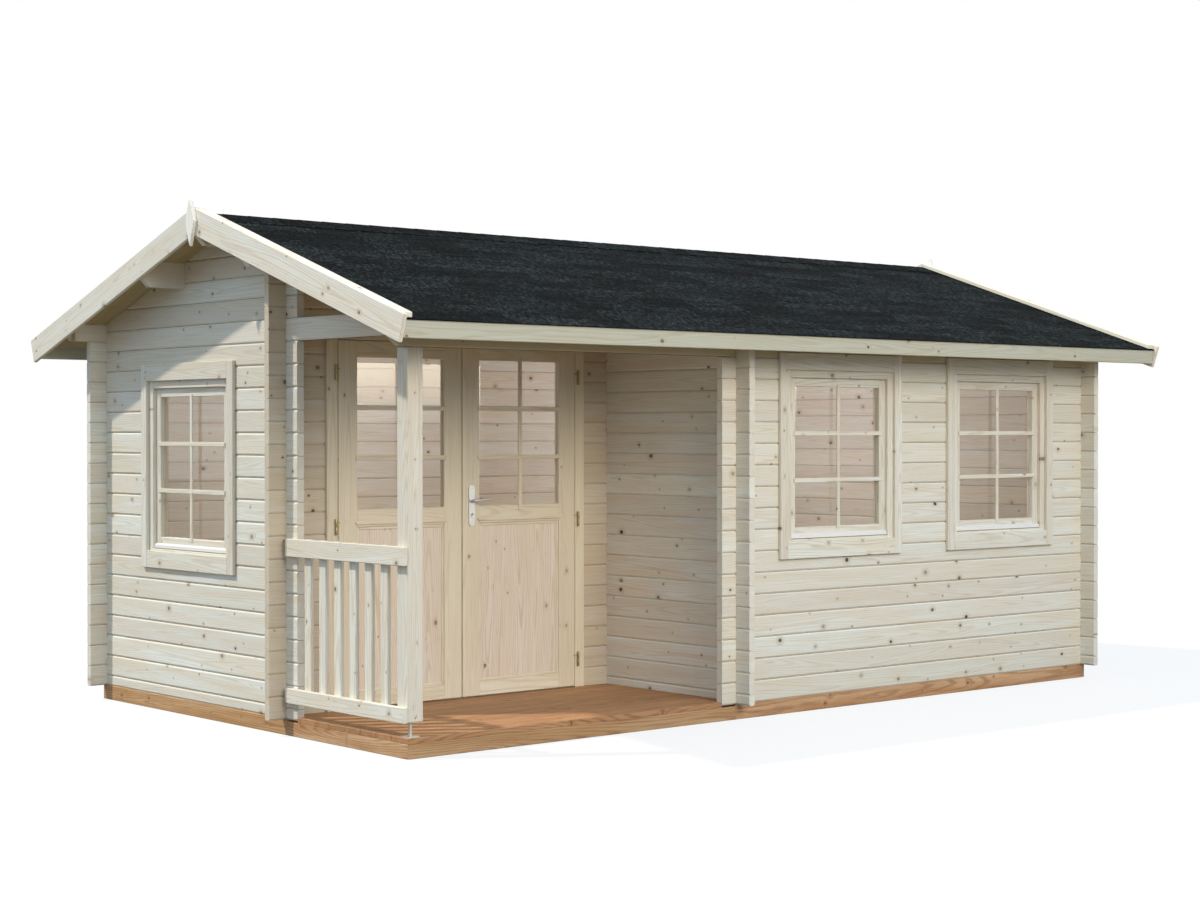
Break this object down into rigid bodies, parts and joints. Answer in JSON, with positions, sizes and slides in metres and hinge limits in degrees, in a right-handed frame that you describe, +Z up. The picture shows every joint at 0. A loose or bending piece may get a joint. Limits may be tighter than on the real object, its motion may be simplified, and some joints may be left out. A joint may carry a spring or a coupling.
{
  "type": "log cabin garden shed with corner porch",
  "caption": "Garden cabin of interlocking notched logs with a pitched felt roof, a recessed corner porch with post and railing, hinged double glazed doors and framed windows.",
  "frame": {"origin": "middle of the plan, on the ground under the base beams", "axes": "+X along the ridge from the porch end, +Y from the porch front to the rear wall, +Z up"},
  "size_m": [5.67, 3.68, 2.6815],
  "materials": {
    "log_spruce": "planed spruce logs",
    "roof_spruce": "planed spruce boards",
    "board_spruce": "planed spruce boards",
    "verge_cap": "planed spruce strips",
    "joinery_spruce": "fine planed spruce",
    "floor_spruce": "planed floor boards",
    "deck_pine": "brown impregnated pine",
    "roof_felt": "mineral roofing felt",
    "window_pane": "clear float glass",
    "zinc_steel": "zinc plated",
    "satin_nickel": "satin nickel"
  },
  "bodies": {
    "cabin": {"rear_wall": "log_spruce", "front_wall_lower": "log_spruce", "front_wall_piers": "log_spruce", "front_top_log": "log_spruce", "right_gable_wall": "log_spruce", "left_gable_lower": "log_spruce", "left_gable_piers": "log_spruce", "left_gable_head": "log_spruce", "left_tie_log": "log_spruce", "left_gable_top": "log_spruce", "porch_side_wall": "log_spruce", "porch_back_wall_sides": "log_spruce", "porch_back_wall_head": "log_spruce", "purlins": "roof_spruce", "roof_boards_front": "roof_spruce", "roof_boards_rear": "roof_spruce", "eave_fascias": "board_spruce", "left_bargeboards": "board_spruce", "right_bargeboards": "board_spruce", "finials": "board_spruce", "porch_post": "board_spruce", "porch_railing": "board_spruce", "left_verge_cap": "verge_cap", "right_verge_cap": "verge_cap", "window_frames": "joinery_spruce", "window_sashes": "joinery_spruce", "door_frame": "joinery_spruce", "room_floor_main": "floor_spruce", "room_floor_rear": "floor_spruce", "long_sills": "deck_pine", "porch_front_beam": "deck_pine", "cross_beams": "deck_pine", "porch_deck": "deck_pine", "roof_covering_front": "roof_felt", "roof_covering_rear": "roof_felt", "window_glass": "window_pane", "post_foot": "zinc_steel", "hinge_frame_halves": "zinc_steel"},
    "left_leaf": {"left_door_leaf": "joinery_spruce", "left_door_glass": "window_pane", "left_hinge_halves": "zinc_steel"},
    "right_leaf": {"right_door_leaf": "joinery_spruce", "right_door_glass": "window_pane", "right_hinge_halves": "zinc_steel", "handle_plates": "satin_nickel"},
    "lever": {"lever_handle": "satin_nickel"}
  },
  "joints": [
    {"name": "left_door_hinge", "type": "hinge", "parent": "cabin", "child": "left_leaf", "pos_m": [-2.267, -0.4705, 1], "axis": [0, 0, -1], "range_deg": [0, 100]},
    {"name": "right_door_hinge", "type": "hinge", "parent": "cabin", "child": "right_leaf", "pos_m": [-0.673, -0.4705, 1], "axis": [0, 0, 1], "range_deg": [0, 100]},
    {"name": "lever_turn", "type": "hinge", "parent": "right_leaf", "child": "lever", "pos_m": [-1.41, -0.464, 1.147], "axis": [0, 1, 0], "range_deg": [0, 40], "stiffness_Nm_per_rad": 1.2}
  ]
}
